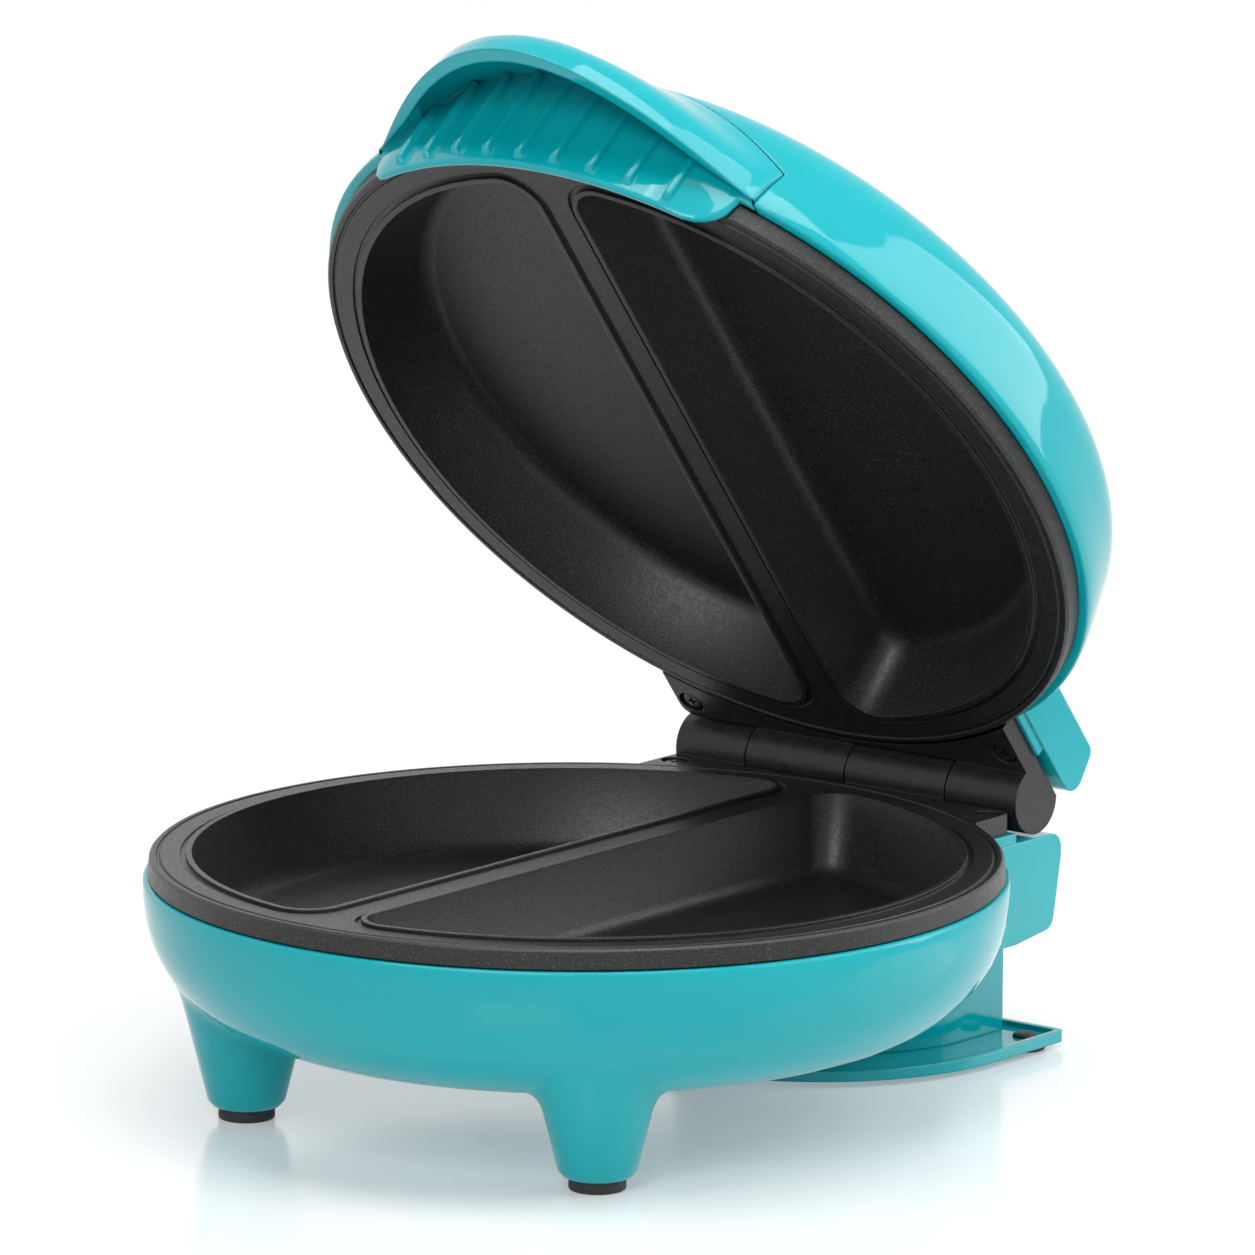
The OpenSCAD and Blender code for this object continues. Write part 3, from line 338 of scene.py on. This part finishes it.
def oval_stack(name, middle, rings, sides=64):
    """A closed piece from (half width, half depth, height) rings in mm, its underside first."""
    x, y = middle
    wide, deep, height = rings[0]
    bpy.ops.object.select_all(action="DESELECT")
    bpy.ops.mesh.primitive_circle_add(vertices=sides, radius=wide * MM, fill_type="NGON",
                                      location=(x * MM, y * MM, height * MM))
    piece = bpy.context.object
    piece.name = name
    keep_place()
    bpy.ops.object.mode_set(mode="EDIT")
    bpy.ops.mesh.select_all(action="SELECT")

    def widen(across, along, high):
        bpy.ops.transform.resize(value=(across, along, 1),
                                 center_override=(x * MM, y * MM, high * MM))

    widen(1, deep / wide, height)
    for new_wide, new_deep, high in rings[1:]:
        rise = (0, 0, (high - height) * MM)
        bpy.ops.mesh.extrude_region_move(TRANSFORM_OT_translate={"value": rise})
        widen(new_wide / wide, new_deep / deep, high)
        wide, deep, height = new_wide, new_deep, high
    bpy.ops.mesh.select_all(action="SELECT")
    bpy.ops.mesh.normals_make_consistent(inside=False)
    done_editing()
    return piece


def turned(name, rings, sides=64):
    """A round piece from (radius, height) rings in mm, its underside first."""
    return oval_stack(name, (0, 0), [(radius, radius, height) for radius, height in rings], sides)


def cut_with(piece, tool):
    """Takes the tool's space out of the piece, and the tool itself is thrown away."""
    alone(piece)
    cut = piece.modifiers.new("cut", "BOOLEAN")
    cut.operation = "DIFFERENCE"
    cut.solver = "EXACT"
    cut.object = tool
    bpy.ops.object.modifier_apply(modifier=cut.name)
    bpy.data.objects.remove(tool)


def settle(piece, place, node, body, flip, finish):
    """Moves a piece to its place on the shut cooker, turns it with the lid and makes it count."""
    alone(piece)
    lid_turn = LID_TURN if body == LID else Matrix.Identity(4)
    turn = Matrix.Rotation(math.pi, 4, "X") if flip else Matrix.Identity(4)
    piece.matrix_world = lid_turn @ Matrix.Translation(Vector(place) * MM) @ turn
    keep_place()
    bpy.ops.object.shade_smooth_by_angle(angle=TURNED_BEND)
    stand_for(piece, node, body, finish)


def set_of(pattern, names_and_places, node, body, flip=False, finish=None):
    """One copy of the pattern at each place, the pattern itself at the last one."""
    last = len(names_and_places) - 1
    for k, (name, place) in enumerate(names_and_places):
        piece = pattern if k == last else copy_of(pattern, name)
        piece.name = name
        settle(piece, place, node, body, flip, finish)


def pair(kind, x, y, z):
    """The names and places of a left and a right piece."""
    return [("left_" + kind, (-x, y, z)), ("right_" + kind, (x, y, z))]


# The grip, on the handle's skin

WALL_R = 102.4            # the grip wall, about the middle of the plates
RIB_REACH = 1.9           # the solid's own ribs stand out from it by less than this
RIBBED_HALF = 42.5        # half the ribbed width
RIB_STEP = 9.85
RIB_TOPS = (80.5, 82.8, 84.0, 84.5, 84.8, 84.5, 84.0, 82.8, 80.5)
PATTERN_TOP = 80.2


def lid_tool(piece):
    """Turns a piece that was made on the shut cooker to where the lid stands open."""
    alone(piece)
    piece.matrix_world = LID_TURN
    keep_place()
    return piece


def deepen_grip(handle):
    """Clears the grip wall for crisp ribs and opens the finger hollow up behind the brow."""
    strip = turned("strip", [(WALL_R + RIB_REACH, 57.0), (WALL_R + RIB_REACH, 72.5)], 256)
    sides = (((RIBBED_HALF * MM, 0, 0), (1, 0, 0)), ((-RIBBED_HALF * MM, 0, 0), (-1, 0, 0)),
             ((0, 0, 0), (0, 1, 0)))
    for place, way in sides:
        choose(strip, "FACE", lambda face: True)
        bpy.ops.mesh.bisect(plane_co=place, plane_no=way, use_fill=True, clear_outer=True)
        done_editing()
    hollow = oval_stack("hollow", (0, -88),
                        [(42, 33.8, 71.6), (42, 33.6, 73.5), (41, 32.4, 77), (38, 29.2, 80),
                         (36, 25.8, 82), (33, 21.8, 84), (30, 17.5, 85.3), (24, 13.5, 85.9)], 128)
    for tool in (strip, hollow):
        cut_with(tool, turned("wall", [(WALL_R, 50), (WALL_R, 95)], 256))
        cut_with(handle, lid_tool(tool))
    alone(handle)
    bpy.ops.object.shade_smooth_by_angle(angle=SKIN_BEND)


def grip_rib_pattern():
    """A rib on the wall's middle, tapered outwards and rounded along its edges and lower end."""
    bpy.ops.object.select_all(action="DESELECT")
    bpy.ops.mesh.primitive_cube_add(size=1.0, location=(0, -102.80 * MM, 69.2 * MM),
                                    scale=(2.9 * MM, 2.6 * MM, 22 * MM))
    rib = bpy.context.object
    keep_place()
    choose(rib, "FACE", lambda face: face.normal.y < -0.9)
    bpy.ops.transform.resize(value=(0.52, 1, 0.92),
                             center_override=(0, -104.10 * MM, PATTERN_TOP * MM))
    done_editing()

    def to_round(edge):
        if max(v.co.y for v in edge.verts) < -103.8 * MM:
            return True
        across = abs(edge.verts[0].co.x - edge.verts[1].co.x)
        return max(v.co.z for v in edge.verts) < 60 * MM and across < 1 * MM

    choose(rib, "EDGE", to_round)
    bpy.ops.mesh.bevel(offset=0.34 * MM, segments=3, affect="EDGES", clamp_overlap=True)
    done_editing()
    return rib


def grip_ribs():
    """Nine ribs that stand up from the grip wall, each as high as the brow leaves room for."""
    pattern = grip_rib_pattern()
    for k, top in enumerate(RIB_TOPS):
        rib = copy_of(pattern, f"grip_rib_{k + 1}")
        choose(rib, "FACE", lambda face: face.normal.z > 0.9)
        bpy.ops.transform.translate(value=(0, 0, (top - PATTERN_TOP) * MM))
        done_editing()
        alone(rib)
        across = math.asin((k - 4) * RIB_STEP / WALL_R)
        rib.matrix_world = LID_TURN @ Matrix.Rotation(across, 4, "Z")
        keep_place()
        bpy.ops.object.shade_smooth_by_angle(angle=RIB_BEND)
        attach(rib, LID)
        put_finish(rib, FINISHES[SLOT_OF["lid_handle"]])
    bpy.data.objects.remove(pattern)


deepen_grip(bpy.data.objects["lid_handle_skin"])
grip_ribs()


# Feet, pads, screws and lenses

def front_foot():
    """A rubber foot with a soft lower edge, a sunk sole and a peg that goes up into the leg."""
    return turned("foot_pattern", [(3.6, 0.5), (4.1, 0.12), (4.4, 0.0), (6.05, 0.0), (6.35, 0.09),
                                   (6.56, 0.3), (6.65, 0.6), (6.65, 2.45), (6.55, 2.7), (2.5, 2.7),
                                   (2.5, 7.1), (2.2, 7.69)])


def rear_pad():
    """A rubber pad that is pulled through the foot plate and held by its round head."""
    return turned("pad_pattern", [(2.6, 0.35), (3.0, 0.08), (3.3, 0.0), (4.5, 0.0), (4.8, 0.12),
                                  (5.0, 0.4), (5.0, 1.5), (2.0, 1.5), (2.0, 3.0), (2.75, 3.0),
                                  (2.9, 3.15), (2.9, 3.5), (2.6, 3.85), (1.8, 4.06), (0.9, 4.1)])


def cross_screw(length, head_h=2.0, head_r=3.2, shank_r=1.75):
    """A pan-head screw with a cross recess, its head up and its head's underside at zero."""
    tip_r = shank_r * 0.55
    tip_h = 1.2
    screw = turned("screw_pattern", [
        (tip_r, -length), (shank_r, -length + tip_h), (shank_r, -0.25), (shank_r + 0.15, 0.0),
        (head_r - 0.1, 0.0), (head_r, 0.12), (head_r, head_h * 0.35),
        (head_r * 0.97, head_h * 0.62), (head_r * 0.88, head_h * 0.84),
        (head_r * 0.74, head_h * 0.95), (head_r * 0.55, head_h)], 48)
    for turn in (0, 90):
        bpy.ops.object.select_all(action="DESELECT")
        bpy.ops.mesh.primitive_cube_add(size=1.0, location=(0, 0, head_h * MM))
        bar = bpy.context.object
        bar.scale = (head_r * 1.12 * MM, head_r * 0.26 * MM, head_h * 1.3 * MM)
        bar.rotation_euler = (0, 0, math.radians(turn))
        keep_place()
        choose(bar, "FACE", lambda face: face.normal.z < -0.9)
        bpy.ops.transform.resize(value=(0.62, 0.62, 1), center_override=(0, 0, head_h * 0.35 * MM))
        done_editing()
        cut_with(screw, bar)
    return screw


def lamp_lens(top):
    """A lens with a collar below the lid, a straight body and a domed top."""
    collar_r, body_r, dome_h = 4.25, 3.25, 0.8
    rings = [(3.55, top - 5.0), (collar_r, top - 5.0), (collar_r, top - 4.4), (body_r, top - 4.4),
             (body_r, top - dome_h)]
    for turn in range(12, 85, 12):
        across, rise = math.cos(math.radians(turn)), math.sin(math.radians(turn))
        rings.append((body_r * across, top - dome_h + dome_h * rise))
    return turned("lens_pattern", rings)


LENS_TOP = 100.0
PLATE_SCREWS = ((-55, -35), (55, -35), (55, 35), (-55, 35))

set_of(front_foot(), pair("foot", 52.5, -57.5, 0), "front_feet", BASE)
set_of(rear_pad(), pair("pad", 47.5, 113, 0), "rear_pads", BASE)
set_of(cross_screw(11.0), pair("base_leaf_screw", 47.3, 97, 58.1), "base_leaf_screws", BASE,
       finish=BLACK_STEEL)
set_of(cross_screw(11.0), pair("lid_leaf_screw", 47.3, 97, 65.7), "lid_leaf_screws", LID,
       flip=True, finish=BLACK_STEEL)
set_of(cross_screw(10.0, head_h=1.2), pair("flange_screw", 25, 84, 1.5), "spool_flange_screws",
       BASE, flip=True)
set_of(cross_screw(14.19), [(f"plate_screw_{k}", (x, y, 23.6))
                            for k, (x, y) in enumerate(PLATE_SCREWS)],
       "lower_plate_screws", BASE, flip=True)
set_of(lamp_lens(LENS_TOP), [("power_lens_dome", (-9, -60, 0))], "power_lens", LID)
set_of(lamp_lens(LENS_TOP), [("ready_lens_dome", (9, -60, 0))], "ready_lens", LID)


# Camera, as the photograph was taken

CAMERA_TURN, CAMERA_LIFT, CAMERA_ROLL = (math.radians(a) for a in (38.454, 11.525, 0.266))
CAMERA_ACROSS, CAMERA_UP, CAMERA_AWAY = 12.165, 112.405, 2590.38        # mm
FOCAL_PIXELS, PHOTO_PIXELS, SENSOR_MM = 11023.5, 1255, 36.0


def camera_in_place():
    turn, lift, roll = CAMERA_TURN, CAMERA_LIFT, CAMERA_ROLL
    back = Vector((math.sin(turn) * math.cos(lift), -math.cos(turn) * math.cos(lift),
                   math.sin(lift)))
    right = Vector((math.cos(turn), math.sin(turn), 0.0))
    up = back.cross(right)
    across = math.cos(roll) * right + math.sin(roll) * up
    upward = -math.sin(roll) * right + math.cos(roll) * up
    place = (CAMERA_ACROSS * across + CAMERA_UP * upward + CAMERA_AWAY * back) * MM
    data = bpy.data.cameras.new("camera")
    data.sensor_width = SENSOR_MM
    data.lens = FOCAL_PIXELS / PHOTO_PIXELS * SENSOR_MM
    data.clip_end = 50.0
    made = bpy.data.objects.new("camera", data)
    facing = Matrix((across, upward, back)).transposed().to_4x4()
    made.matrix_world = Matrix.Translation(place) @ facing
    bpy.context.scene.collection.objects.link(made)
    bpy.context.scene.camera = made


camera_in_place()


# Floor, backdrop and lamps

WHITE = (1.0, 1.0, 1.0, 1.0)
SEEN = ("Is Camera Ray", "Is Glossy Ray", "Is Transmission Ray")
FLOOR_GREY = (0.66, 0.66, 0.66)
FLOOR_GLOW = 0.26
FADE_FROM, FADE_TO = 0.20, 0.55       # metres from the object's middle
AMBIENT = 0.26
AIM = (0, 0, 0.12)


def seen_rays(tree):
    """One value that is 1 for any ray by which the surroundings are seen."""
    rays = tree.nodes.new("ShaderNodeLightPath")
    seen = rays.outputs[SEEN[0]]
    for kind in SEEN[1:]:
        either = tree.nodes.new("ShaderNodeMath")
        either.operation = "MAXIMUM"
        tree.links.new(seen, either.inputs[0])
        tree.links.new(rays.outputs[kind], either.inputs[1])
        seen = either.outputs[0]
    return seen


def pale_floor():
    """A satin white table that keeps the shadow and a faint mirror image, and fades to white."""
    bpy.ops.object.select_all(action="DESELECT")
    bpy.ops.mesh.primitive_plane_add(size=8.0, location=(0, 0, 0))
    floor = bpy.context.object
    floor.name = "floor"
    made = Finish("white_table", FLOOR_GREY, 0.16)
    glow = made.node("ShaderNodeEmission", Color=WHITE, Strength=FLOOR_GLOW)
    near = made.node("ShaderNodeAddShader")
    made.link(made.shader.outputs[0], near.inputs[0])
    made.link(glow.outputs[0], near.inputs[1])
    white = made.node("ShaderNodeEmission", Color=WHITE, Strength=1.0)
    away = made.node("ShaderNodeVectorMath", operation="LENGTH")
    made.link(made.place, away.inputs[0])
    fade = made.node("ShaderNodeMapRange", interpolation_type="SMOOTHSTEP",
                     From_Min=FADE_FROM, From_Max=FADE_TO)
    made.link(away.outputs["Value"], fade.inputs["Value"])
    share = made.node("ShaderNodeMath", operation="MULTIPLY")
    made.link(fade.outputs["Result"], share.inputs[0])
    made.link(seen_rays(made.tree), share.inputs[1])
    both = made.node("ShaderNodeMixShader")
    made.link(share.outputs[0], both.inputs[0])
    made.link(near.outputs[0], both.inputs[1])
    made.link(white.outputs[0], both.inputs[2])
    made.link(both.outputs[0], made.tree.nodes["Material Output"].inputs["Surface"])
    put_finish(floor, made.material)


def studio_world():
    """White where the camera or a reflection sees it, and a softer light on everything else."""
    world = bpy.data.worlds.new("studio")
    world.use_nodes = True
    tree = world.node_tree
    back = tree.nodes["Background"]
    back.inputs["Color"].default_value = WHITE
    level = tree.nodes.new("ShaderNodeMapRange")
    level.inputs["To Min"].default_value = AMBIENT
    level.inputs["To Max"].default_value = 1.0
    tree.links.new(seen_rays(tree), level.inputs["Value"])
    tree.links.new(level.outputs["Result"], back.inputs["Strength"])
    bpy.context.scene.world = world


def soft_lamp(name, turn, lift, away, width, height, power, roll=0):
    """A softbox aimed at the object, turned from the front to the right, lifted and rolled."""
    turn, lift = math.radians(turn), math.radians(lift)
    place = (away * math.sin(turn) * math.cos(lift), -away * math.cos(turn) * math.cos(lift),
             AIM[2] + away * math.sin(lift))
    data = bpy.data.lights.new(name, "AREA")
    data.shape = "RECTANGLE"
    data.size, data.size_y = width, height
    data.energy = power
    lamp = bpy.data.objects.new(name, data)
    way = (Vector(AIM) - Vector(place)).to_track_quat("-Z", "Y").to_matrix().to_4x4()
    rolled = Matrix.Rotation(math.radians(roll), 4, "Z")
    lamp.matrix_world = Matrix.Translation(place) @ way @ rolled
    bpy.context.scene.collection.objects.link(lamp)


pale_floor()
studio_world()
soft_lamp("side_lamp", 128, 29, 1.5, width=1.80, height=0.95, power=18.0, roll=-45)
soft_lamp("top_lamp", 85, 77, 1.5, width=0.90, height=0.85, power=12.0)
soft_lamp("grip_lamp", -68, 74, 1.5, width=0.60, height=0.60, power=5.5)
soft_lamp("front_lamp", 22, 34, 1.6, width=0.65, height=0.65, power=10.5)

bpy.context.scene.view_settings.view_transform = "Standard"
